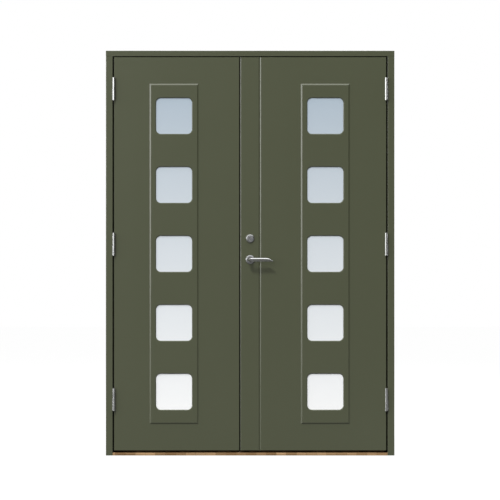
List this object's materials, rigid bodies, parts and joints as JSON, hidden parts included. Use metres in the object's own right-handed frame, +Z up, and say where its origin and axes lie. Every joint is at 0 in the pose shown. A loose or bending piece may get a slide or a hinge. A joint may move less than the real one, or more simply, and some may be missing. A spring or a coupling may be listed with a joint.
{
  "type": "double front door",
  "caption": "Double front door: outward-opening leaves with raised glazed fields, lever handle and lock, on lift-off hinges in a rebated timber frame with an oak threshold.",
  "frame": {"origin": "middle of the threshold's underside, halfway through the frame's depth", "axes": "+X to the right seen from outside, +Y into the house, +Z up"},
  "size_m": [1.49, 0.175, 2.09],
  "materials": {
    "olive_paint": "satin olive-green paint",
    "oak": "oiled",
    "rubber_seal": "matte",
    "satin_glass": "satin",
    "hinge_steel": "zinc plated, bright",
    "lock_steel": "satin",
    "bright_chrome": "polished",
    "spacer_bar": "matte"
  },
  "bodies": {
    "frame": {"head": "olive_paint", "threshold": "oak", "head_seal": "rubber_seal", "threshold_seal": "rubber_seal", "left_jamb": "olive_paint", "left_jamb_seal": "rubber_seal", "left_frame_hinges": "hinge_steel", "right_jamb": "olive_paint", "right_jamb_seal": "rubber_seal", "right_frame_hinges": "hinge_steel"},
    "left_leaf": {"left_leaf_hinges": "hinge_steel", "left_hinge_stile": "olive_paint", "left_lock_stile": "olive_paint", "left_rails": "olive_paint", "left_outer_skin": "olive_paint", "left_inner_skin": "olive_paint", "left_outer_panes": "satin_glass", "left_inner_panes": "satin_glass", "left_spacers": "spacer_bar", "strike_plate": "lock_steel", "meeting_seal": "rubber_seal"},
    "right_leaf": {"right_leaf_hinges": "hinge_steel", "right_hinge_stile": "olive_paint", "right_lock_stile": "olive_paint", "right_rails": "olive_paint", "right_outer_skin": "olive_paint", "right_inner_skin": "olive_paint", "right_outer_panes": "satin_glass", "right_inner_panes": "satin_glass", "right_spacers": "spacer_bar", "lock_forend": "lock_steel", "latch_bolt": "lock_steel", "dead_bolt": "lock_steel", "outer_lever_rose": "bright_chrome", "inner_lever_rose": "bright_chrome", "cylinder_ring": "bright_chrome", "lock_cylinder": "bright_chrome", "thumbturn_rose": "bright_chrome", "thumbturn": "bright_chrome"},
    "lever": {"outer_lever": "bright_chrome", "inner_lever": "bright_chrome", "lever_spindle": "lock_steel"}
  },
  "joints": [
    {"name": "left_leaf_swing", "type": "hinge", "parent": "frame", "child": "left_leaf", "pos_m": [-0.703, -0.066, 0], "axis": [0, 0, -1], "range_deg": [0, 110]},
    {"name": "right_leaf_swing", "type": "hinge", "parent": "frame", "child": "right_leaf", "pos_m": [0.703, -0.066, 0], "axis": [0, 0, 1], "range_deg": [0, 110]},
    {"name": "lever_turn", "type": "hinge", "parent": "right_leaf", "child": "lever", "pos_m": [0, 0, 1.012], "axis": [0, 1, 0], "range_deg": [0, 40], "stiffness_Nm_per_rad": 1.2, "springref_deg": -34.38}
  ]
}
